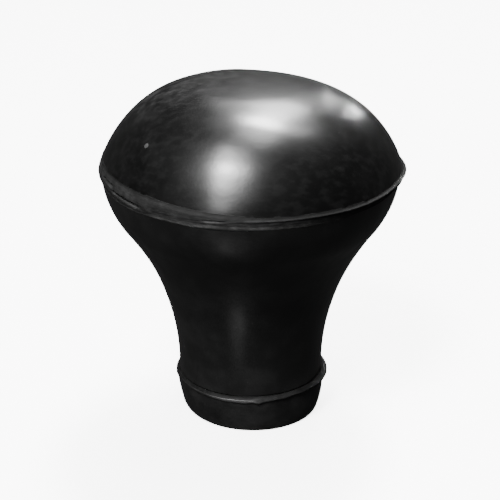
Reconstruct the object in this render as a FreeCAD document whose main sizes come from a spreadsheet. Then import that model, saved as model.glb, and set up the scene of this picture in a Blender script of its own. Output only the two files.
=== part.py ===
"""Dust blower bulb: a hollow rubber bulb with a round head, a flared neck and a tapered foot.

Frame: millimetres, +Z up, origin at the centre of the foot's flat underside.
The bulb stands on its foot, with the air mouth opening downwards through it.
"""

import FreeCAD, Part
import os
import Sketcher

PARTS_FOLDER = "parts"

# Driving dimensions, in millimetres. A height inside a sub-part counts from its own placement.
SIZES = {
    # The dome: a broad crown arc that runs into a tighter shoulder arc.
    "head_radius": 25.0,
    "dome_rise": 14.75,
    "shoulder_arc": 19.5,
    "crown_arc": 72.0,
    # The lower shell: a convex arc under the rim, then a long concave throat.
    "seam_height": 43.0,
    "rim_radius": 24.4,
    "flare_arc": 16.0,
    "throat_arc": 43.0,
    "neck_radius": 12.3,
    "neck_edge_height": 7.1,
    "neck_straight": 1.1,
    "wall": 2.5,
    # The band of rubber round the seam, let into a rebate in both shells.
    "band_inner_radius": 23.6,
    "band_low_radius": 24.4,
    "band_high_radius": 24.6,
    "band_half_height": 1.4,
    "bead_radius": 24.95,
    "lip_radius": 25.4,
    "lip_half_height": 0.3,
    # The thin ring of flash between the neck and the plug.
    "ring_radius": 13.05,
    "ring_thickness": 0.6,
    # The mouth plug: a tapered foot, a spigot up inside the neck, and the air mouth.
    "foot_top_radius": 12.65,
    "foot_bottom_radius": 11.4,
    "foot_side_arc": 18.0,
    "foot_fillet": 0.7,
    "spigot_height": 14.0,
    "spigot_chamfer": 0.8,
    "mouth_radius": 2.5,
    "mouth_chamfer": 0.4,
}
# Both shells have one wall thickness, measured inwards from their outer arcs.
SIZES["dome_inner_rise"] = SIZES["dome_rise"] - SIZES["wall"]
SIZES["dome_inner_radius"] = SIZES["head_radius"] - SIZES["wall"]
SIZES["shoulder_inner_arc"] = SIZES["shoulder_arc"] - SIZES["wall"]
SIZES["flare_inner_radius"] = SIZES["rim_radius"] - SIZES["wall"]
SIZES["flare_inner_arc"] = SIZES["flare_arc"] - SIZES["wall"]
SIZES["spigot_radius"] = SIZES["neck_radius"] - SIZES["wall"]
# The dome's side of the rebate is a little wider than the band, which leaves room for cement.
CEMENT_GAP = 0.1
SIZES["dome_rebate_radius"] = SIZES["band_inner_radius"] - CEMENT_GAP
SIZES["dome_rebate_height"] = SIZES["band_half_height"] + CEMENT_GAP
SIZES["neck_height"] = SIZES["seam_height"] - SIZES["neck_edge_height"]
SIZES["neck_rebate_height"] = SIZES["neck_height"] - SIZES["band_half_height"]
SIZES["foot_height"] = SIZES["neck_edge_height"] - SIZES["ring_thickness"]
# Rebates are cut from well outside the shells.
SIZES["cutter_radius"] = SIZES["head_radius"] + SIZES["wall"]

FULL_TURN = 360
START, END, CENTRE = 1, 2, 3
ORIGIN = (-1, START)
RADIUS_AXIS, HEIGHT_AXIS = -1, -2
NEAR = 1e-6


# --- Sheet, bodies and sketches -------------------------------------------------------------


def make_sheet(doc):
    """The spreadsheet that every sub-part is bound to: one aliased number in each row."""
    sheet = doc.addObject("Spreadsheet::Sheet", "dims")
    for row, (alias, value) in enumerate(SIZES.items(), start=1):
        sheet.set(f"A{row}", alias)
        sheet.set(f"B{row}", str(value))
        sheet.setAlias(f"B{row}", alias)
    doc.recompute()


def make_body(doc, label, height=None):
    """A body that stands at a height named in the sheet, or on the ground plane."""
    body = doc.addObject("PartDesign::Body", label)
    body.Label = label
    if height:
        body.setExpression("Placement.Base.z", f"dims.{height}")
    return body


def make_sketch(body, name, plane="XZ_Plane"):
    """An empty sketch on one of the body's own origin planes."""
    sketch = body.newObject("Sketcher::SketchObject", name)
    support = next(item for item in body.Origin.OriginFeatures if item.Role == plane)
    sketch.AttachmentSupport = [(support, "")]
    sketch.MapMode = "FlatFace"
    return sketch


def bind(sketch, kind, places, alias, sign=1):
    """Adds a dimension to the sketch that takes its value from the sheet."""
    index = sketch.addConstraint(Sketcher.Constraint(kind, *places, sign * SIZES[alias]))
    name = f"{alias}_{index}"
    sketch.renameConstraint(index, name)
    sketch.setExpression(f"Constraints.{name}", f"{sign} * dims.{alias}")


def pin(sketch, corner, radius, height, sign=1):
    """Holds a corner at a radius and a height of the sheet. None is the axis or the base plane."""
    if radius is None:
        sketch.addConstraint(Sketcher.Constraint("PointOnObject", *corner, HEIGHT_AXIS))
    else:
        bind(sketch, "DistanceX", (*ORIGIN, *corner), radius)
    if height is None:
        sketch.addConstraint(Sketcher.Constraint("PointOnObject", *corner, RADIUS_AXIS))
    else:
        bind(sketch, "DistanceY", (*ORIGIN, *corner), height, sign)


def point(radius, height, sign=1):
    """A corner's place in a sketch: x is the radius and y is the height. None is zero."""
    return FreeCAD.Vector(SIZES.get(radius, 0), sign * SIZES.get(height, 0), 0)


def about(radius, height):
    """A rough place that a sketch's solver starts from. The constraints then settle it."""
    return FreeCAD.Vector(radius, height, 0)


def straight(sketch, start, end):
    """A line, as its first and last corner."""
    edge = sketch.addGeometry(Part.LineSegment(start, end), False)
    return (edge, START), (edge, END)


def anticlockwise(sketch, start, middle, end):
    """An arc drawn anticlockwise, as its first and last corner."""
    edge = sketch.addGeometry(Part.Arc(start, middle, end), False)
    return (edge, START), (edge, END)


def close(sketch, edges, smooth=()):
    """Joins each edge's last corner to the next one's first, smoothly after those in smooth."""
    for number, (edge, next_edge) in enumerate(zip(edges, edges[1:] + edges[:1])):
        kind = "Tangent" if number in smooth else "Coincident"
        sketch.addConstraint(Sketcher.Constraint(kind, *edge[1], *next_edge[0]))


def concentric(sketch, inner, outer):
    """Gives an inner arc the centre of the outer one, so that the wall between them is even."""
    centres = (inner[0][0], CENTRE, outer[0][0], CENTRE)
    sketch.addConstraint(Sketcher.Constraint("Coincident", *centres))


def backwards(edge):
    """The same edge, followed from its last corner to its first."""
    return edge[1], edge[0]


def outline(sketch, corners):
    """A closed outline of straight edges. A corner is (radius, height) or (radius, height, sign)."""
    places = [point(*corner) for corner in corners]
    edges = [straight(sketch, a, b) for a, b in zip(places, places[1:] + places[:1])]
    close(sketch, edges)
    for edge, corner in zip(edges, corners):
        pin(sketch, edge[0], *corner)


# --- Features ---------------------------------------------------------------------------------


def turn(body, sketch, kind="PartDesign::Revolution"):
    """Turns a sketch all the way round the height axis, to add or to cut."""
    before = body.Shape.Volume if body.Tip else 0
    feature = body.newObject(kind, f"{sketch.Name}_turned")
    feature.Profile = sketch
    feature.ReferenceAxis = (sketch, ["V_Axis"])
    feature.Angle = FULL_TURN
    body.Document.recompute()
    if kind == "PartDesign::Groove" and feature.Shape.Volume > before - NEAR:
        raise RuntimeError(f"{feature.Name} cuts nothing")
    return feature


def round_edges(feature, radius, height):
    """Names of the feature's circular edges of this radius at this height."""
    return [
        f"Edge{number}"
        for number, edge in enumerate(feature.Shape.Edges, start=1)
        if isinstance(edge.Curve, Part.Circle)
        and abs(edge.Curve.Radius - radius) < NEAR
        and abs(edge.Curve.Center.z - height) < NEAR
    ]


def dress(body, kind, edges, size, alias):
    """A fillet or a chamfer on named edges of the body's last feature."""
    feature = body.newObject(kind, f"{body.Label}_{alias}")
    feature.Base = (edges[0], edges[1])
    feature.setExpression(size, f"dims.{alias}")
    body.Document.recompute()
    return feature


# --- Sub-parts --------------------------------------------------------------------------------


def make_dome_shell(doc):
    """The upper half of the bulb, which the thumb presses."""
    body = make_body(doc, "dome_shell", "seam_height")
    sketch = make_sketch(body, "dome_outline")
    rim, apex = point("head_radius", None), point(None, "dome_rise")
    inner_rim, inner_apex = point("dome_inner_radius", None), point(None, "dome_inner_rise")
    meeting, inner_meeting = about(8.4, 14.2), about(8.1, 11.8)
    edge = straight(sketch, inner_rim, rim)
    shoulder = anticlockwise(sketch, rim, about(19.8, 8.8), meeting)
    crown = anticlockwise(sketch, meeting, about(4.2, 14.6), apex)
    axis = straight(sketch, apex, inner_apex)
    inner_crown = anticlockwise(sketch, inner_meeting, about(4.0, 12.1), inner_apex)
    inner_shoulder = anticlockwise(sketch, inner_rim, about(18.0, 7.0), inner_meeting)
    loop = [edge, shoulder, crown, axis, backwards(inner_crown), backwards(inner_shoulder)]
    close(sketch, loop, smooth={1, 4})
    pin(sketch, shoulder[0], "head_radius", None)
    pin(sketch, crown[1], None, "dome_rise")
    sketch.addConstraint(Sketcher.Constraint("PointOnObject", crown[0][0], CENTRE, HEIGHT_AXIS))
    bind(sketch, "Radius", (shoulder[0][0],), "shoulder_arc")
    bind(sketch, "Radius", (crown[0][0],), "crown_arc")
    concentric(sketch, inner_shoulder, shoulder)
    concentric(sketch, inner_crown, crown)
    bind(sketch, "Radius", (inner_shoulder[0][0],), "shoulder_inner_arc")
    sketch.addConstraint(Sketcher.Constraint("PointOnObject", *inner_shoulder[0], RADIUS_AXIS))
    sketch.addConstraint(Sketcher.Constraint("PointOnObject", *inner_crown[1], HEIGHT_AXIS))
    turn(body, sketch)
    rebate = make_sketch(body, "dome_rebate")
    outline(
        rebate,
        [
            ("dome_rebate_radius", None),
            ("cutter_radius", None),
            ("cutter_radius", "dome_rebate_height"),
            ("dome_rebate_radius", "dome_rebate_height"),
        ],
    )
    turn(body, rebate, "PartDesign::Groove")
    return body


def make_neck_shell(doc):
    """The lower half: the flare under the rim, the throat and the neck."""
    body = make_body(doc, "neck_shell", "neck_edge_height")
    sketch = make_sketch(body, "neck_outline")
    low, side_top = point("neck_radius", None), point("neck_radius", "neck_straight")
    inner_low, inner_side_top = point("spigot_radius", None), point("spigot_radius", "neck_straight")
    rim, inner_rim = point("rim_radius", "neck_height"), point("flare_inner_radius", "neck_height")
    meeting, inner_meeting = about(21.1, 27.4), about(19.2, 28.9)
    base = straight(sketch, inner_low, low)
    side = straight(sketch, low, side_top)
    throat = anticlockwise(sketch, meeting, about(14.6, 15.0), side_top)
    flare = anticlockwise(sketch, meeting, about(23.4, 31.4), rim)
    lid = straight(sketch, rim, inner_rim)
    inner_flare = anticlockwise(sketch, inner_meeting, about(21.0, 32.3), inner_rim)
    inner_throat = anticlockwise(sketch, inner_meeting, about(12.2, 15.8), inner_side_top)
    inner_side = straight(sketch, inner_side_top, inner_low)
    loop = [base, side, backwards(throat), flare, lid, backwards(inner_flare), inner_throat, inner_side]
    close(sketch, loop, smooth={1, 2, 5, 6})
    pin(sketch, side[0], "neck_radius", None)
    pin(sketch, side[1], "neck_radius", "neck_straight")
    pin(sketch, flare[1], "rim_radius", "neck_height")
    pin(sketch, base[0], "spigot_radius", None)
    bind(sketch, "Radius", (throat[0][0],), "throat_arc")
    bind(sketch, "Radius", (flare[0][0],), "flare_arc")
    concentric(sketch, inner_flare, flare)
    concentric(sketch, inner_throat, throat)
    bind(sketch, "Radius", (inner_flare[0][0],), "flare_inner_arc")
    sketch.addConstraint(Sketcher.Constraint("Horizontal", lid[0][0]))
    turn(body, sketch)
    rebate = make_sketch(body, "neck_rebate")
    outline(
        rebate,
        [
            ("band_inner_radius", "neck_rebate_height"),
            ("cutter_radius", "neck_rebate_height"),
            ("cutter_radius", "neck_height"),
            ("band_inner_radius", "neck_height"),
        ],
    )
    turn(body, rebate, "PartDesign::Groove")
    return body


def make_seam_band(doc):
    """The strip of rubber that joins the two shells, with the lip squeezed out at its middle."""
    body = make_body(doc, "seam_band", "seam_height")
    sketch = make_sketch(body, "band_outline")
    outline(
        sketch,
        [
            ("band_inner_radius", "band_half_height", -1),
            ("band_low_radius", "band_half_height", -1),
            ("bead_radius", "lip_half_height", -1),
            ("lip_radius", "lip_half_height", -1),
            ("lip_radius", "lip_half_height"),
            ("bead_radius", "lip_half_height"),
            ("band_high_radius", "band_half_height"),
            ("band_inner_radius", "band_half_height"),
        ],
    )
    turn(body, sketch)
    return body


def make_neck_ring(doc):
    """The thin ring of flash where the plug meets the neck."""
    body = make_body(doc, "neck_ring", "foot_height")
    sketch = make_sketch(body, "ring_outline")
    outline(
        sketch,
        [
            ("spigot_radius", None),
            ("ring_radius", None),
            ("ring_radius", "ring_thickness"),
            ("spigot_radius", "ring_thickness"),
        ],
    )
    turn(body, sketch)
    return body


def make_mouth_plug(doc):
    """The tapered foot with its spigot, and the air mouth through both."""
    body = make_body(doc, "mouth_plug")
    sketch = make_sketch(body, "plug_outline")
    foot, low = point(None, None), point("foot_bottom_radius", None)
    shoulder, inner = point("foot_top_radius", "foot_height"), point("spigot_radius", "foot_height")
    spigot_top, top = point("spigot_radius", "spigot_height"), point(None, "spigot_height")
    bulge = FreeCAD.Vector(0.3, 0, 0)  # about how far the side bows outwards
    base = straight(sketch, foot, low)
    side = anticlockwise(sketch, low, (low + shoulder) * 0.5 + bulge, shoulder)
    ledge = straight(sketch, shoulder, inner)
    spigot = straight(sketch, inner, spigot_top)
    lid = straight(sketch, spigot_top, top)
    axis = straight(sketch, top, foot)
    close(sketch, [base, side, ledge, spigot, lid, axis])
    pin(sketch, base[0], None, None)
    pin(sketch, side[0], "foot_bottom_radius", None)
    pin(sketch, ledge[0], "foot_top_radius", "foot_height")
    pin(sketch, spigot[0], "spigot_radius", "foot_height")
    pin(sketch, lid[0], "spigot_radius", "spigot_height")
    pin(sketch, axis[0], None, "spigot_height")
    bind(sketch, "Radius", (side[0][0],), "foot_side_arc")
    solid = turn(body, sketch)

    circle_sketch = make_sketch(body, "mouth_circle", "XY_Plane")
    circle = circle_sketch.addGeometry(
        Part.Circle(FreeCAD.Vector(), FreeCAD.Vector(0, 0, 1), SIZES["mouth_radius"]), False
    )
    circle_sketch.addConstraint(Sketcher.Constraint("Coincident", circle, CENTRE, *ORIGIN))
    bind(circle_sketch, "Radius", (circle,), "mouth_radius")
    mouth = body.newObject("PartDesign::Pocket", "mouth")
    mouth.Profile = circle_sketch
    mouth.Type = "ThroughAll"
    mouth.Midplane = True
    doc.recompute()
    if mouth.Shape.Volume > solid.Shape.Volume - NEAR:
        raise RuntimeError("the mouth cuts nothing")

    rim = round_edges(mouth, SIZES["foot_bottom_radius"], 0)
    rounded = dress(body, "PartDesign::Fillet", (mouth, rim), "Radius", "foot_fillet")
    top_edge = round_edges(rounded, SIZES["spigot_radius"], SIZES["spigot_height"])
    led_in = dress(body, "PartDesign::Chamfer", (rounded, top_edge), "Size", "spigot_chamfer")
    mouth_edge = round_edges(led_in, SIZES["mouth_radius"], 0)
    dress(body, "PartDesign::Chamfer", (led_in, mouth_edge), "Size", "mouth_chamfer")
    return body


# --- Checks and export ------------------------------------------------------------------------


def check(doc, bodies):
    """Stops the script on any failed object or any sub-part that isn't one sound solid."""
    for item in doc.Objects:
        if {"Invalid", "Error"} & set(item.State):
            raise RuntimeError(f"{item.Name} failed: {item.State}")
    for body in bodies:
        shape = body.Shape
        if shape.isNull() or not shape.isValid() or len(shape.Solids) != 1:
            raise RuntimeError(f"{body.Label} isn't one valid solid")


def export(bodies):
    """Writes one STEP file for each sub-part, named after it."""
    os.makedirs(PARTS_FOLDER, exist_ok=True)
    for body in bodies:
        body.Shape.exportStep(os.path.join(PARTS_FOLDER, f"{body.Label}.step"))
        box = body.Shape.optimalBoundingBox()
        print(
            f"{body.Label}: {body.Shape.Volume:.1f} mm3, "
            f"radius {box.XMax:.2f}, from {box.ZMin:.2f} to {box.ZMax:.2f}"
        )


def main():
    doc = FreeCAD.newDocument("dust_blower_bulb")
    make_sheet(doc)
    makers = (make_dome_shell, make_neck_shell, make_seam_band, make_neck_ring, make_mouth_plug)
    bodies = [make(doc) for make in makers]
    doc.recompute()
    check(doc, bodies)
    export(bodies)


main()
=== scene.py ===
"""Looks of the dust blower bulb: detailed rubber pieces, materials, light and camera.

Metres, in the CAD frame: +Z up, the foot's underside at z = 0, the viewed side towards -Y.
Angles round the bulb are in degrees from -Y, growing towards +X.
"""

import math

import bmesh
import bpy
import numpy as np
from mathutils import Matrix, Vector, noise


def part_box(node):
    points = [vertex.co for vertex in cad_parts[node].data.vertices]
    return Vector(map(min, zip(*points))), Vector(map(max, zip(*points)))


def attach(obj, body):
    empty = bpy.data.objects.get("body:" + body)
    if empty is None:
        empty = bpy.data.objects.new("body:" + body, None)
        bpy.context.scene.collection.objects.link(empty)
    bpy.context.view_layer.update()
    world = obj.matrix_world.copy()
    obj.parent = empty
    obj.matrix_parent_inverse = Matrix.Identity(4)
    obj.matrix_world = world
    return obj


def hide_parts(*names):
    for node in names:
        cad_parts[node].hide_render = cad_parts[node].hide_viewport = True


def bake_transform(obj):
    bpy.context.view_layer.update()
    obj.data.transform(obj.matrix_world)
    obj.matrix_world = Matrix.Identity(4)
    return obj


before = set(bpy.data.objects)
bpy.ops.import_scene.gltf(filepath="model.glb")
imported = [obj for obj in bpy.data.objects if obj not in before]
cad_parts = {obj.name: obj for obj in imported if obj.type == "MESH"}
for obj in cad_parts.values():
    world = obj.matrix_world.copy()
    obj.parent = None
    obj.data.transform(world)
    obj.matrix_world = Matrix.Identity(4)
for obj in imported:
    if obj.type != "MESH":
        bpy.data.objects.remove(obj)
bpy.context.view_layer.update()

MM = 0.001

# Places and sizes from the frame.
SEAM_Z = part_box("neck_shell")[1].z
CROWN_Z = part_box("dome_shell")[1].z
RING_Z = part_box("neck_ring")[0].z
NECK_EDGE_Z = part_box("neck_ring")[1].z
SPIGOT_TOP_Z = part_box("mouth_plug")[1].z
RING_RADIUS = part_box("neck_ring")[1].x
FOOT_TOP_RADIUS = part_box("mouth_plug")[1].x

# The CAD model's arcs, which the outer surfaces follow. The dome's heights count from the seam.
HEAD_RADIUS = 25.0 * MM
DOME_RISE = CROWN_Z - SEAM_Z
SHOULDER_ARC = 19.5 * MM
CROWN_ARC = 72.0 * MM
RIM_RADIUS = 24.4 * MM
FLARE_ARC = 16.0 * MM
THROAT_ARC = 43.0 * MM
THROAT_START = -34.8 * MM  # where the neck becomes straight, from the seam
NECK_RADIUS = 12.3 * MM
FOOT_SIDE_ARC = 18.0 * MM
SPIGOT_RADIUS = 9.8 * MM
MOUTH_RADIUS = 2.5 * MM
WALL = 2.5 * MM

SEGMENTS = 480
ANGLES = np.linspace(-math.pi, math.pi, SEGMENTS, endpoint=False)


# --- Profiles ---------------------------------------------------------------------------------


def centre_between(first, first_gap, second, second_gap, side):
    """The centre that is first_gap from one point and second_gap from another, on one side."""
    (x0, y0), (x1, y1) = first, second
    span = math.hypot(x1 - x0, y1 - y0)
    along = (first_gap**2 - second_gap**2 + span**2) / (2 * span)
    across = math.sqrt(first_gap**2 - along**2) * side
    ux, uy = (x1 - x0) / span, (y1 - y0) / span
    return x0 + ux * along - uy * across, y0 + uy * along + ux * across


CROWN_CENTRE = (0.0, DOME_RISE - CROWN_ARC)
SHOULDER_CENTRE = centre_between(
    CROWN_CENTRE, CROWN_ARC - SHOULDER_ARC, (HEAD_RADIUS, 0.0), SHOULDER_ARC, side=1
)
THROAT_CENTRE = (NECK_RADIUS + THROAT_ARC, THROAT_START)
FLARE_CENTRE = centre_between(
    THROAT_CENTRE, THROAT_ARC + FLARE_ARC, (RIM_RADIUS, 0.0), FLARE_ARC, side=1
)
# The tilt from upright at which the crown's arc hands over to the shoulder's.
SHOULDER_TILT = math.atan2(SHOULDER_CENTRE[0], SHOULDER_CENTRE[1] - CROWN_CENTRE[1])
FLARE_END = FLARE_CENTRE[1] + (THROAT_CENTRE[1] - FLARE_CENTRE[1]) * FLARE_ARC / (
    FLARE_ARC + THROAT_ARC
)


def dome_point(tilt, inset=0.0):
    """(radius, height above the seam) where the dome's surface is tilted this far from level."""
    on_crown = tilt < SHOULDER_TILT
    reach = np.where(on_crown, CROWN_ARC, SHOULDER_ARC) - inset
    radius = np.where(on_crown, 0.0, SHOULDER_CENTRE[0]) + reach * np.sin(tilt)
    height = np.where(on_crown, CROWN_CENTRE[1], SHOULDER_CENTRE[1]) + reach * np.cos(tilt)
    return radius, height


def dome_tilt(height, inset=0.0):
    """The surface's tilt at a height on the shoulder arc."""
    return np.arccos((height - SHOULDER_CENTRE[1]) / (SHOULDER_ARC - inset))


def dome_radius(height):
    """The dome's outer radius at a height above the seam, on the shoulder arc."""
    return dome_point(dome_tilt(height))[0]


def neck_radius(height, inset=0.0):
    """The lower shell's radius at a height, which is negative under the seam."""
    flare_reach, throat_reach = FLARE_ARC - inset, THROAT_ARC + inset
    flare_rise = np.clip(height - FLARE_CENTRE[1], -flare_reach, flare_reach)
    throat_rise = np.clip(height - THROAT_START, 0.0, throat_reach)
    flare = FLARE_CENTRE[0] + np.sqrt(flare_reach**2 - flare_rise**2)
    throat = THROAT_CENTRE[0] - np.sqrt(throat_reach**2 - throat_rise**2)
    end = THROAT_START + (FLARE_END - THROAT_START) * throat_reach / THROAT_ARC
    return np.where(height > end, flare, throat)


def around(*stops, blur=8):
    """A smooth value for every angle round the bulb, from (degrees, value) stops."""
    degrees, values = zip(*stops)
    plain = np.interp(np.degrees(ANGLES), degrees, values, period=360)
    steps = range(-blur, blur + 1)
    return sum(np.roll(plain, step) for step in steps) / len(steps)


def hump(value, middle, half_width):
    """1 at the middle and smoothly down to 0 either side, as a bell curve."""
    return np.exp(-(((value - middle) / half_width) ** 2))


def fade(value, low, high):
    """0 below low, 1 above high, and smooth between them."""
    share = np.clip((value - low) / (high - low), 0.0, 1.0)
    return share * share * (3 - 2 * share)


def angle_gap(degrees):
    """How far each angle round the bulb is from this one, in degrees."""
    return (np.degrees(ANGLES) - degrees + 180) % 360 - 180


# --- Meshes -----------------------------------------------------------------------------------


def ring_row(radius, height):
    """A row of points round the axis, from radii and heights above the seam."""
    radius = np.broadcast_to(radius, ANGLES.shape)
    height = np.broadcast_to(height, ANGLES.shape)
    return np.stack([radius * np.sin(ANGLES), -radius * np.cos(ANGLES), height + SEAM_Z], axis=1)


def pole(height):
    """A row that is one point on the axis."""
    return np.array([[0.0, 0.0, height + SEAM_Z]])


def bumps(points, size, seed):
    """Smooth noise from -1 to 1 at each point, with lumps of about this size."""
    offset = Vector((seed * 7.3, seed * 3.1, seed * 5.7))
    return np.array([noise.noise(Vector(point) / size + offset) for point in points])


PUSH_FLATTEN = 0.8  # how much of a point's height over the seam counts in the way it is pushed


def push_out(rows, amount):
    """Moves points away from the middle of the seam, by an amount for each point."""
    points = np.concatenate(rows)
    outward = points * [1, 1, 0]
    outward[:, 2] = (points[:, 2] - SEAM_Z) * PUSH_FLATTEN
    outward /= np.maximum(np.linalg.norm(outward, axis=1, keepdims=True), 1e-9)
    moved = points + outward * amount[:, None]
    ends = np.cumsum([len(row) for row in rows])[:-1]
    return np.split(moved, ends)


def ring_mesh(name, rows, closed):
    """A smooth mesh through rows of points. closed joins the last row to the first."""
    starts = np.cumsum([0] + [len(row) for row in rows])
    pairs = list(zip(range(len(rows) - 1), range(1, len(rows))))
    if closed:
        pairs.append((len(rows) - 1, 0))
    faces = []
    for low, high in pairs:
        for k in range(SEGMENTS):
            following = (k + 1) % SEGMENTS
            a, b = starts[low] + k, starts[low] + following
            c, d = starts[high] + following, starts[high] + k
            if len(rows[low]) == 1:
                faces.append((starts[low], c, d))
            elif len(rows[high]) == 1:
                faces.append((a, b, starts[high]))
            else:
                faces.append((a, b, c, d))
    mesh = bpy.data.meshes.new(name)
    mesh.from_pydata(np.concatenate(rows).tolist(), [], [tuple(map(int, f)) for f in faces])
    sculpt = bmesh.new()
    sculpt.from_mesh(mesh)
    bmesh.ops.recalc_face_normals(sculpt, faces=sculpt.faces)
    sculpt.to_mesh(mesh)
    sculpt.free()
    mesh.shade_smooth()
    piece = bpy.data.objects.new(name, mesh)
    bpy.context.scene.collection.objects.link(piece)
    return piece


def finish_piece(piece, node, material):
    """Gives a piece its material and hides the CAD part that it stands for."""
    piece.data.materials.append(material)
    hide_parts(node)
    return piece


# --- The seam's uneven edges, as heights from the seam -----------------------------------------

BAND_TOP = MM * around(
    (-180, 1.3), (-120, 2.1), (-75, 2.7), (-57, 2.6), (-40, 2.05), (-28, 1.6), (-12, 1.15),
    (2, 0.85), (20, 0.8), (45, 0.8), (70, 1.15), (120, 1.2),
)
BAND_BOTTOM = MM * around(
    (-180, -1.2), (-120, -1.0), (-75, -1.1), (-60, -1.25), (-48, -1.5), (-42, -1.3), (-30, -1.35),
    (-14, -1.65), (4, -1.5), (30, -1.3), (45, -1.0), (70, -0.7), (120, -0.9),
)
LIP_HEIGHT = MM * around(
    (-180, 0.3), (-120, 0.25), (0, 0.1), (20, 0.25), (40, 0.25), (58, 0.55), (71, 0.8), (90, 0.3),
    (140, 0.2),
)
LIP_REACH = MM * around(
    (-180, 0.4), (-130, 0.12), (-80, 0.0), (-8, 0.0), (6, 0.1), (20, 0.15), (45, 0.2), (70, 0.36),
    (120, 0.5), blur=6,
)
BAND_REACH = MM * around(
    (-180, 0.1), (-120, 0.0), (-75, -0.02), (-50, 0.04), (0, 0.05), (40, 0.08), (120, 0.12)
)
# The dome's edge stands out past the neck's, and the surface changes over between these heights.
STEP_BOTTOM = MM * around(
    (-180, -0.9), (-110, -0.9), (-70, -1.1), (20, -1.2), (55, -0.7), (120, -0.7)
)
STEP_TOP = MM * around(
    (-180, 0.5), (-90, 0.8), (-60, 1.2), (0, 0.7), (30, 0.5), (55, 0.3), (120, 0.3)
)
REBATE = 0.9 * MM
OVERLAP = 0.1 * MM  # how far the band's face covers each shell's edge
SEAT_GAP = 0.03 * MM
EDGE_HOLD = 0.001  # share of a surface's length from its edge to a row that keeps the edge crisp


def joined_radius(height):
    """The bulb's outer radius across the seam, with the step between the shells smoothed."""
    share = fade(height, STEP_BOTTOM, STEP_TOP)
    return neck_radius(np.minimum(height, 0)) * (1 - share) + dome_radius(
        np.maximum(height, 0)
    ) * share


# --- Pieces -----------------------------------------------------------------------------------


CROWN_LEAN = math.radians(2.5)
CROWN_DROP = 0.16 * MM
LEFT_DROP = 0.2 * MM


def crown_settle(points):
    """The crown's own unevenness: it stands low in the middle, and lowest on its right."""
    across = np.hypot(points[:, 0], points[:, 1]) / HEAD_RADIUS
    drop = CROWN_DROP + math.tan(CROWN_LEAN) * points[:, 0]
    left = LEFT_DROP * fade(-points[:, 0], 2 * MM, 12 * MM)
    return -(drop + left) * (1 - fade(across, 0.35, 0.98))


def spot_on(radius, degrees, height):
    """A place on a surface that has this radius, at a height above the seam."""
    turn = math.radians(degrees)
    return np.array([radius * math.sin(turn), -radius * math.cos(turn), height + SEAM_Z])


def speck(points, spot, size):
    """1 at a spot and down to 0 a little way from it."""
    return hump(np.linalg.norm(points - spot, axis=1), 0.0, size)


# A speck on the dome, a nub just over the band, and a pit in the neck.
SPECK = spot_on(dome_radius(8.0 * MM), -50, 8.0 * MM)
NUB = spot_on(dome_radius(1.15 * MM), 45, 1.15 * MM)
PIT = spot_on(NECK_RADIUS, -34, -28.2 * MM)


def make_dome(material):
    """The upper half-shell: crown, shoulder, the rebate for the band, and the inside."""
    edge_height = BAND_TOP - OVERLAP
    edge_tilt = dome_tilt(edge_height)
    outer = [pole(DOME_RISE)]
    for share in [*np.linspace(0, 1, 111)[1:-1], 1 - EDGE_HOLD, 1]:
        outer.append(ring_row(*dome_point(share * edge_tilt)))
    points = np.concatenate(outer)
    height = points[:, 2] - SEAM_Z
    lumps = 0.12 * MM * bumps(points, 15 * MM, 5) + 0.05 * MM * bumps(points, 5.5 * MM, 4)
    specks = 0.12 * MM * speck(points, SPECK, 0.3 * MM) + 0.25 * MM * speck(points, NUB, 0.35 * MM)
    outer = push_out(outer, lumps * fade(height, 0.0, 3 * MM) + specks)
    ledge = [
        ring_row(dome_radius(edge_height) - REBATE - SEAT_GAP, edge_height),
        ring_row(dome_radius(0.0) - REBATE - SEAT_GAP, 0.0),
    ]
    inner_rim = dome_tilt(0.0, WALL)
    inside = [
        ring_row(*dome_point(share * inner_rim, WALL)) for share in np.linspace(1, 0, 41)[:-1]
    ]
    rows = outer + ledge + inside + [pole(DOME_RISE - WALL)]
    for row in rows:
        row[:, 2] += crown_settle(row)
    return finish_piece(ring_mesh("dome_skin", rows, False), "dome_shell", material)


def make_neck(material):
    """The lower half-shell: the rebate for the band, the flare, the throat and the neck."""
    edge_height = BAND_BOTTOM + OVERLAP
    low = NECK_EDGE_Z - SEAM_Z
    outer = []
    for share in [0, EDGE_HOLD, *np.linspace(0, 1, 141)[1:]]:
        height = edge_height + (low - edge_height) * share
        outer.append(ring_row(neck_radius(height), height))
    points = np.concatenate(outer)
    lumps = 0.10 * MM * bumps(points, 12 * MM, 8) + 0.03 * MM * bumps(points, 4 * MM, 9)
    depth = SEAM_Z - points[:, 2]
    pit = -0.22 * MM * speck(points, PIT, 0.42 * MM)
    outer = push_out(outer, lumps * fade(depth, 1.5 * MM, 6 * MM) + pit)
    inside = []
    for share in np.linspace(1, 0, 41):
        height = np.full(SEGMENTS, low * share)
        inside.append(ring_row(neck_radius(height, WALL), height))
    ledge = [
        ring_row(neck_radius(0.0) - REBATE - SEAT_GAP, 0.0),
        ring_row(neck_radius(edge_height) - REBATE - SEAT_GAP, edge_height),
    ]
    rows = outer + inside + ledge
    return finish_piece(ring_mesh("neck_skin", rows, True), "neck_shell", material)


def streak(height, start, end, start_height, end_height, half_width):
    """1 along a line between two angles and heights, and 0 away from it, for a row of points."""
    degrees = np.degrees(ANGLES)
    share = (degrees - start) / (end - start)
    line = start_height + (end_height - start_height) * share
    ends = fade(share, -0.05, 0.15) * (1 - fade(share, 0.85, 1.05))
    return ends * hump(height, line, half_width)


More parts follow.
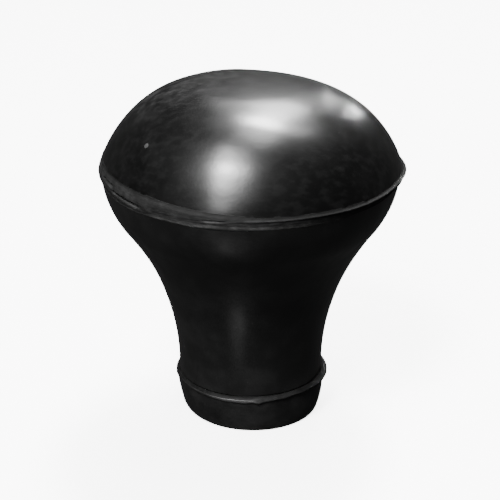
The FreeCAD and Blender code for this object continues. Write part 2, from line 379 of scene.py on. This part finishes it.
# Slits in the band, which go inwards, and the low ridges beside them, which stand out. Each is
# (how far out in mm, first angle, last angle, first height, last height, half width in mm).
STREAKS = (
    (-0.7, -60, -43, 0.35, -0.15, 0.2),
    (-0.55, -70, -60, 1.2, 1.05, 0.17),
    (-0.1, -18, -8, -0.1, 0.0, 0.14),
    (0.08, -60, -42, -0.4, -0.85, 0.3),
    (0.05, -17, -9, -0.45, -0.4, 0.2),
)
LIP_HALF_WIDTH = 0.17 * MM
NOTCH_ANGLE = 60
NOTCH_DEPTH = 0.4 * MM


def make_band(material):
    """The buffed strip round the seam, with its slits on the left and its lip on the right."""
    face = []
    for share in np.linspace(0, 1, 61):
        height = BAND_BOTTOM + (BAND_TOP - BAND_BOTTOM) * share
        edges = min(fade(share, 0.0, 0.2), 1 - fade(share, 0.72, 1.0))
        reach = BAND_REACH * edges + 0.01 * MM
        reach = reach + LIP_REACH * hump(height, LIP_HEIGHT, LIP_HALF_WIDTH)
        for out, start, end, start_height, end_height, half_width in STREAKS:
            heights = (start_height * MM, end_height * MM)
            reach = reach + out * MM * streak(height, start, end, *heights, half_width * MM)
        notch = hump(angle_gap(NOTCH_ANGLE), 0, 1.6) * hump(height, 0.1 * MM, 0.3 * MM)
        reach = reach - NOTCH_DEPTH * notch
        face.append(ring_row(joined_radius(height) + reach, height))
    points = np.concatenate(face)
    rough = 0.05 * MM * bumps(points, 2.2 * MM, 12) + 0.03 * MM * bumps(points, 0.8 * MM, 13)
    face = push_out(face, rough)
    back = [
        ring_row(joined_radius(BAND_TOP) - REBATE, BAND_TOP - OVERLAP - SEAT_GAP),
        ring_row(joined_radius(BAND_BOTTOM) - REBATE, BAND_BOTTOM + OVERLAP + SEAT_GAP),
    ]
    piece = ring_mesh("seam_strip", face + back, True)
    return finish_piece(piece, "seam_band", material)


def make_ring(material):
    """The thin flash round the neck, which is broader on the right and has a nub in front."""
    middle = -SEAM_Z + MM * around(
        (-180, 6.5), (-110, 6.3), (-67, 6.25), (-31, 6.25), (-15, 6.15), (5, 6.2), (16, 6.5),
        (35, 6.6), (50, 6.6), (65, 6.35), (90, 6.2), (120, 6.4),
    )
    reach = (RING_RADIUS - NECK_RADIUS) * around(
        (-180, 0.9), (-110, 0.9), (-80, 0.85), (-60, 0.55), (0, 0.7), (40, 0.9), (75, 1.35),
        (100, 1.4), (140, 0.9),
    )
    thickness = MM * around((-180, 0.3), (-90, 0.3), (10, 0.3), (35, 0.45), (70, 0.5), (120, 0.35))
    nub = hump(angle_gap(6), 0, 3.0)
    reach = reach + 0.25 * MM * nub
    top = NECK_EDGE_Z - SEAM_Z + 0.05 * MM
    # The lower half is round, and the upper half runs up to the neck in a hollow curve.
    rows = []
    for turn in np.linspace(-math.pi / 2, 0, 8):
        height = middle + (thickness + 0.2 * MM * nub) * math.sin(turn)
        rows.append(ring_row(NECK_RADIUS + reach * math.cos(turn) ** 0.6, height))
    for share in np.linspace(0, 1, 9)[1:]:
        radius = NECK_RADIUS - 0.05 * MM * share + reach * (1 - share) ** 1.7
        rows.append(ring_row(radius, middle + (top - middle) * share))
    points = np.concatenate(rows)
    rough = 0.09 * MM * bumps(points, 1.6 * MM, 21) + 0.05 * MM * bumps(points, 0.6 * MM, 22)
    rows = push_out(rows, rough * fade(top + SEAM_Z - points[:, 2], 0.0, 0.4 * MM))
    core = NECK_RADIUS - 0.7 * MM
    rows.append(ring_row(core, top))
    rows.append(ring_row(core, middle - 0.25 * MM))
    return finish_piece(ring_mesh("neck_flash", rows, True), "neck_ring", material)


def make_plug(material):
    """The tapered foot, its air mouth, and the spigot that goes up inside the neck."""
    base = -SEAM_Z
    shoulder = RING_Z - SEAM_Z
    side_centre = FOOT_TOP_RADIUS - FOOT_SIDE_ARC
    fillet = MM * around((-180, 0.8), (-90, 1.7), (-30, 1.1), (20, 0.6), (55, 0.35), (120, 0.35))
    lean = around((-180, 0.0), (-90, -0.1), (0, 0.0), (50, 0.3), (90, 0.25), (140, 0.1))
    rows = []
    for share in np.linspace(0, 1, 31):
        height = shoulder + (base + fillet - shoulder) * share
        radius = side_centre + np.sqrt(FOOT_SIDE_ARC**2 - (height - shoulder) ** 2)
        rows.append(ring_row(radius + lean * MM * fade(share, 0.1, 1.0), height))
    corner = radius + lean * MM
    for turn in np.linspace(0, math.pi / 2, 13)[1:]:
        inward = fillet * (1 - math.cos(turn))
        rows.append(ring_row(corner - inward, base + fillet * (1 - math.sin(turn))))
    points = np.concatenate(rows)
    lift = fade(points[:, 2], 0.0, 0.8 * MM)
    rough = 0.05 * MM * bumps(points, 3 * MM, 31) + 0.02 * MM * bumps(points, 0.9 * MM, 32)
    rows = push_out(rows, rough * lift)
    lead = 0.4 * MM
    chamfer = 0.8 * MM
    top = SPIGOT_TOP_Z - SEAM_Z
    spigot = SPIGOT_RADIUS - SEAT_GAP
    # From the bore's lead-in, up the bore, and down the outside of the spigot.
    inner = [
        (MOUTH_RADIUS + lead * 1.3, base),
        (MOUTH_RADIUS + lead, base + 0.02 * MM),
        (MOUTH_RADIUS, base + lead),
        (MOUTH_RADIUS, base + 2 * lead),
        (MOUTH_RADIUS, top - 0.2 * MM),
        (MOUTH_RADIUS + 0.2 * MM, top),
        (spigot - chamfer, top),
        (spigot, top - chamfer),
        (spigot, shoulder + 0.2 * MM),
        (spigot + 0.2 * MM, shoulder),
    ]
    rows += [ring_row(radius, height) for radius, height in inner]
    return finish_piece(ring_mesh("foot_plug", rows, True), "mouth_plug", material)


# --- Materials --------------------------------------------------------------------------------


def set_range(node, low, high, start, end):
    """Sets a Map Range node to take low to start and high to end."""
    node.inputs["From Min"].default_value = low
    node.inputs["From Max"].default_value = high
    node.inputs["To Min"].default_value = start
    node.inputs["To Max"].default_value = end


class Painter:
    """A material's node tree, with short calls for the nodes that this scene uses."""

    def __init__(self, name, specular):
        self.material = bpy.data.materials.new(name)
        self.material.use_nodes = True
        self.tree = self.material.node_tree
        self.shader = self.tree.nodes["Principled BSDF"]
        self.shader.inputs["Specular IOR Level"].default_value = specular
        self.place = self.tree.nodes.new("ShaderNodeTexCoord").outputs["Object"]

    def link(self, source, target):
        self.tree.links.new(source, target)

    def noise(self, scale, detail=4.0, rough=0.55, stretch=(1, 1, 1), turned=(0, 0, 0)):
        """Noise from 0 to 1. scale is in lumps per metre."""
        mapping = self.tree.nodes.new("ShaderNodeMapping")
        mapping.inputs["Scale"].default_value = stretch
        mapping.inputs["Rotation"].default_value = turned
        self.link(self.place, mapping.inputs["Vector"])
        node = self.tree.nodes.new("ShaderNodeTexNoise")
        node.inputs["Scale"].default_value = scale
        node.inputs["Detail"].default_value = detail
        node.inputs["Roughness"].default_value = rough
        self.link(mapping.outputs["Vector"], node.inputs["Vector"])
        return node.outputs["Fac"]

    def ramp(self, value, low, high, start=0.0, end=1.0):
        """Takes low to start and high to end, smoothly, and holds beyond them."""
        node = self.tree.nodes.new("ShaderNodeMapRange")
        node.interpolation_type = "SMOOTHSTEP"
        self.link(value, node.inputs["Value"])
        set_range(node, low, high, start, end)
        return node.outputs["Result"]

    def math(self, kind, first, second):
        """A sum or product of two values, either of which may be a plain number."""
        node = self.tree.nodes.new("ShaderNodeMath")
        node.operation = kind
        for socket, value in zip(node.inputs, (first, second)):
            if isinstance(value, (int, float)):
                socket.default_value = value
            else:
                self.link(value, socket)
        return node.outputs[0]

    def along(self, direction, low, high):
        """0 to 1 as the place's product with a direction grows from low to high, in metres."""
        node = self.tree.nodes.new("ShaderNodeVectorMath")
        node.operation = "DOT_PRODUCT"
        self.link(self.place, node.inputs[0])
        node.inputs[1].default_value = direction
        return self.ramp(node.outputs["Value"], low, high)

    def near(self, spot, radius):
        """1 within a radius of a spot, and 0 a little further out."""
        node = self.tree.nodes.new("ShaderNodeVectorMath")
        node.operation = "DISTANCE"
        self.link(self.place, node.inputs[0])
        node.inputs[1].default_value = spot
        return self.ramp(node.outputs["Value"], radius, radius * 1.5, 1.0, 0.0)

    def mix(self, amount, dark, light):
        """A colour between two greys or colours."""
        node = self.tree.nodes.new("ShaderNodeMix")
        node.data_type = "RGBA"
        self.link(amount, node.inputs["Factor"])
        for socket, colour in ((node.inputs[6], dark), (node.inputs[7], light)):
            if isinstance(colour, float):
                socket.default_value = (colour, colour, colour, 1.0)
            else:
                self.link(colour, socket)
        return node.outputs[2]

    def bump(self, value, depth, strength=1.0, under=None):
        """A bump of this depth in metres, on top of another."""
        node = self.tree.nodes.new("ShaderNodeBump")
        node.inputs["Strength"].default_value = strength
        node.inputs["Distance"].default_value = depth
        self.link(value, node.inputs["Height"])
        if under is not None:
            self.link(under, node.inputs["Normal"])
        return node.outputs["Normal"]

    def finish(self, colour, roughness, normal):
        self.link(colour, self.shader.inputs["Base Color"])
        self.link(roughness, self.shader.inputs["Roughness"])
        self.link(normal, self.shader.inputs["Normal"])
        return self.material


def dome_rubber():
    """Black rubber polished by the thumb, with dust rubbed in, mostly on the top and the back."""
    paint = Painter("dome_rubber", specular=0.5)
    clouds = paint.noise(230, detail=6, rough=0.6)
    smeared = {"stretch": (0.6, 1.1, 1.1), "turned": (0.2, 0.5, 0.3)}
    smears = paint.noise(850, detail=5, rough=0.6, **smeared)
    region = paint.along((-0.25, 0.5, 0.9), 0.047, 0.057)
    cloud = paint.ramp(clouds, 0.42, 0.66)
    smear = paint.ramp(smears, 0.45, 0.66)
    dust = paint.math(
        "ADD", paint.math("MULTIPLY", cloud, 0.4), paint.math("MULTIPLY", smear, 0.6)
    )
    cover = paint.math("ADD", paint.math("MULTIPLY", region, 0.7), 0.12)
    film = paint.math("MULTIPLY", dust, cover)
    pale = paint.math("ADD", film, paint.math("MULTIPLY", paint.near(SPECK, 0.3 * MM), 10.0))
    colour = paint.mix(pale, 0.001, 0.034)
    roughness = paint.ramp(clouds, 0.3, 0.75, 0.2745, 0.279)
    grain = paint.noise(2600, detail=3)
    normal = paint.bump(grain, 0.00002, 0.3)
    normal = paint.bump(smears, 0.00004, 0.3, normal)
    return paint.finish(colour, roughness, normal)


def neck_rubber():
    """Black rubber as it left the mould, duller than the head."""
    paint = Painter("neck_rubber", specular=0.5)
    clouds = paint.noise(150, detail=6, rough=0.6)
    flow = paint.noise(320, detail=5, rough=0.6, stretch=(1.2, 1.2, 0.3))
    dust = paint.math("MULTIPLY", paint.near(PIT, 0.2 * MM), 8.0)
    pale = paint.math("ADD", paint.ramp(clouds, 0.4, 0.75), dust)
    colour = paint.mix(pale, 0.005, 0.011)
    roughness = paint.ramp(flow, 0.3, 0.75, 0.3, 0.4)
    grain = paint.noise(2400, detail=3)
    normal = paint.bump(grain, 0.00002, 0.4)
    normal = paint.bump(flow, 0.00005, 0.3, normal)
    return paint.finish(colour, roughness, normal)


TOP_EDGE_SLOPE = 1.85 / 25  # how far the strip's top edge climbs towards the left


def seam_rubber():
    """The seam's strip. Its grey dies away at both edges. The paler grey under the seam is painted
    light on the strip's lower face, and less of it is painted towards the left.
    """
    paint = Painter("seam_rubber", specular=0.15)
    clouds = paint.noise(420, detail=7, rough=0.65)
    scratches = paint.noise(600, detail=5, rough=0.7, stretch=(1, 1, 6))
    buffed = paint.along((-1.0, -0.4, 0.0), -0.018, 0.006)
    # under: painted light, a paler grey on the strip's lower face under the seam.
    under = paint.along((0.0, 0.0, -1.0), -SEAM_Z - 0.6 * MM, -SEAM_Z + 0.6 * MM)
    top_edge = paint.along((-TOP_EDGE_SLOPE, 0.0, -1.0), -SEAM_Z - 0.95 * MM, -SEAM_Z - 0.25 * MM)
    bottom_edge = paint.along((0.0, 0.0, 1.0), SEAM_Z - 1.6 * MM, SEAM_Z - 1.15 * MM)
    wear = paint.ramp(scratches, 0.35, 0.65, 0.5, 1.1)
    patchy = paint.math("MULTIPLY", wear, paint.ramp(clouds, 0.4, 0.65, 0.55, 1.1))
    # Painted light: the paler grey under the seam fades towards the left.
    painted_light_left_fade = paint.ramp(paint.along((1.0, 0.0, 0.0), -20 * MM, -6 * MM), 0.0, 1.0, 0.35, 1.0)
    # The strip's own grey, made paler under the seam by painted light.
    grey = paint.mix(paint.math("MULTIPLY", under, painted_light_left_fade), 0.018, 0.085)
    inside = paint.math("MULTIPLY", paint.math("MULTIPLY", top_edge, bottom_edge), buffed)
    colour = paint.mix(paint.math("MULTIPLY", inside, patchy), 0.004, grey)
    roughness = paint.ramp(clouds, 0.3, 0.7, 0.55, 0.75)
    normal = paint.bump(scratches, 0.00008, 0.5)
    return paint.finish(colour, roughness, normal)


def ring_rubber():
    """The flash's torn, matt rubber."""
    paint = Painter("ring_rubber", specular=0.15)
    clouds = paint.noise(600, detail=6, rough=0.65)
    colour = paint.mix(paint.ramp(clouds, 0.35, 0.7), 0.003, 0.009)
    roughness = paint.ramp(clouds, 0.3, 0.7, 0.5, 0.7)
    normal = paint.bump(clouds, 0.00008, 0.6)
    return paint.finish(colour, roughness, normal)


def plug_rubber():
    """Slightly grainy black rubber."""
    paint = Painter("plug_rubber", specular=0.5)
    clouds = paint.noise(260, detail=6, rough=0.65)
    colour = paint.mix(paint.ramp(clouds, 0.35, 0.75), 0.003, 0.009)
    roughness = paint.ramp(clouds, 0.3, 0.7, 0.42, 0.6)
    grain = paint.noise(1500, detail=4, rough=0.7)
    normal = paint.bump(grain, 0.00006, 0.6)
    return paint.finish(colour, roughness, normal)


# --- Stage ------------------------------------------------------------------------------------


FLOOR_GLOW = 5.0
WALL_GLOW = 0.025
ROOM_GLOW = 0.07
BACKDROP_GLOW = 8.0


def make_floor():
    """A plain pale floor, which the rubber doesn't mirror."""
    size = 4.0
    mesh = bpy.data.meshes.new("floor")
    corners = [(-size, -size, 0), (size, -size, 0), (size, size, 0), (-size, size, 0)]
    mesh.from_pydata(corners, [], [(0, 1, 2, 3)])
    floor = bpy.data.objects.new("floor", mesh)
    bpy.context.scene.collection.objects.link(floor)
    material = bpy.data.materials.new("floor_white")
    material.use_nodes = True
    shader = material.node_tree.nodes["Principled BSDF"]
    shader.inputs["Base Color"].default_value = (0.9, 0.9, 0.9, 1)
    shader.inputs["Roughness"].default_value = 0.9
    shader.inputs["Specular IOR Level"].default_value = 0.0
    shader.inputs["Emission Color"].default_value = (1, 1, 1, 1)
    shader.inputs["Emission Strength"].default_value = FLOOR_GLOW
    mesh.materials.append(material)
    floor.visible_glossy = False
    floor.visible_diffuse = False
    floor.visible_shadow = False


def make_world():
    """White to the camera. The rubber sees a dim room with a paler wall behind the bulb."""
    world = bpy.data.worlds.new("studio")
    bpy.context.scene.world = world
    world.use_nodes = True
    tree = world.node_tree
    tree.nodes.clear()
    place = tree.nodes.new("ShaderNodeTexCoord")
    split = tree.nodes.new("ShaderNodeSeparateXYZ")
    tree.links.new(place.outputs["Generated"], split.inputs["Vector"])

    def ramp(value, low, high, start, end):
        node = tree.nodes.new("ShaderNodeMapRange")
        node.interpolation_type = "SMOOTHSTEP"
        tree.links.new(value, node.inputs["Value"])
        set_range(node, low, high, start, end)
        return node.outputs["Result"]

    product = tree.nodes.new("ShaderNodeMath")
    product.operation = "MULTIPLY"
    tree.links.new(ramp(split.outputs["Z"], 0.05, 0.35, 0.0, 1.0), product.inputs[0])
    tree.links.new(ramp(split.outputs["Y"], 0.2, 0.9, 0.05, 1.0), product.inputs[1])
    wall = tree.nodes.new("ShaderNodeMath")
    wall.operation = "MULTIPLY_ADD"
    tree.links.new(product.outputs[0], wall.inputs[0])
    wall.inputs[1].default_value = WALL_GLOW
    wall.inputs[2].default_value = ROOM_GLOW
    room = tree.nodes.new("ShaderNodeBackground")
    tree.links.new(wall.outputs[0], room.inputs["Strength"])
    pale = tree.nodes.new("ShaderNodeBackground")
    pale.inputs["Strength"].default_value = BACKDROP_GLOW
    path = tree.nodes.new("ShaderNodeLightPath")
    either = tree.nodes.new("ShaderNodeMixShader")
    tree.links.new(path.outputs["Is Camera Ray"], either.inputs["Fac"])
    tree.links.new(room.outputs["Background"], either.inputs[1])
    tree.links.new(pale.outputs["Background"], either.inputs[2])
    output = tree.nodes.new("ShaderNodeOutputWorld")
    tree.links.new(either.outputs["Shader"], output.inputs["Surface"])


def softbox(name, azimuth, elevation, distance, width, height, radiance, roll=0, round_edge=False):
    """An area light aimed at the head's middle. Azimuth is 0 behind the bulb, and 90 at +X.

    Distance, width and height are in metres, and radiance is the power over pi times the area.
    """
    turn, rise = math.radians(azimuth), math.radians(elevation)
    direction = Vector(
        (math.sin(turn) * math.cos(rise), math.cos(turn) * math.cos(rise), math.sin(rise))
    )
    light = bpy.data.lights.new(name, "AREA")
    light.shape = "ELLIPSE" if round_edge else "RECTANGLE"
    light.size, light.size_y = width, height
    area = width * height * (math.pi / 4 if round_edge else 1)
    light.energy = radiance * math.pi * area
    lamp = bpy.data.objects.new(name, light)
    target = Vector((0, 0, SEAM_Z))
    lamp.location = target + direction * distance
    aim = direction.to_track_quat("Z", "Y")
    lamp.rotation_euler = aim.to_euler()
    lamp.rotation_euler.rotate_axis("Z", math.radians(roll))
    lamp.visible_camera = False
    bpy.context.scene.collection.objects.link(lamp)


def make_lights():
    """Soft lights over and behind the bulb, a window at the camera's left, and a lit table."""
    # Name, azimuth, elevation, distance, width, height, radiance.
    softbox("over", 18, 67, 0.7, 0.19, 0.13, 175.0, roll=-40, round_edge=True)
    softbox("over_back", 17, 54, 0.7, 0.13, 0.15, 50.0, round_edge=True)
    softbox("over_far", 12, 42, 0.7, 0.16, 0.17, 26.0, round_edge=True)
    softbox("over_far_left", -3, 44, 0.7, 0.15, 0.17, 3.5, round_edge=True)
    softbox("over_right", 50, 62, 0.7, 0.14, 0.14, 11.0)
    softbox("zenith", 60, 85, 0.7, 0.16, 0.16, 20.0)
    softbox("over_left", -30, 70, 0.7, 0.16, 0.14, 2.0)
    softbox("window_top", -147, 70, 0.7, 0.13, 0.1, 45.0)
    softbox("window", -154, 55, 0.7, 0.14, 0.13, 175.0)
    softbox("window_mid", -156, 41, 0.7, 0.13, 0.13, 58.0)
    softbox("window_sill", -157, 25, 0.7, 0.11, 0.13, 18.0)
    softbox("back_right", 18, 21, 0.8, 0.05, 0.02, 90.0)
    softbox("back_right_edge", 26, 17.5, 0.8, 0.045, 0.024, 210.0)
    softbox("table", -158, -57, 0.3, 0.04, 0.1, 1.3)


CAMERA_PLACE = (-0.1 * MM, -200 * MM, SEAM_Z + 69 * MM)
CAMERA_DIP = 22.7  # how far it looks down, in degrees
LENS = 92.8
SENSOR = 36.0


def make_camera():
    """The viewing angle: from the front, and down onto the head."""
    camera = bpy.data.objects.new("camera", bpy.data.cameras.new("camera"))
    camera.location = CAMERA_PLACE
    camera.rotation_euler = (math.radians(90 - CAMERA_DIP), 0.0, 0.0)
    camera.data.lens = LENS
    camera.data.sensor_width = SENSOR
    camera.data.clip_start = 0.01
    bpy.context.scene.collection.objects.link(camera)
    bpy.context.scene.camera = camera


# --- Scene ------------------------------------------------------------------------------------


def main():
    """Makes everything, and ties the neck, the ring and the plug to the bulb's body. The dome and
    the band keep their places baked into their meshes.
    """
    make_camera()
    make_floor()
    make_world()
    make_lights()
    dome = make_dome(dome_rubber())
    neck = make_neck(neck_rubber())
    band = make_band(seam_rubber())
    ring = make_ring(ring_rubber())
    plug = make_plug(plug_rubber())
    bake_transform(dome)
    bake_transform(band)
    for piece in (neck, ring, plug):
        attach(piece, "bulb")
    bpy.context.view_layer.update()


main()
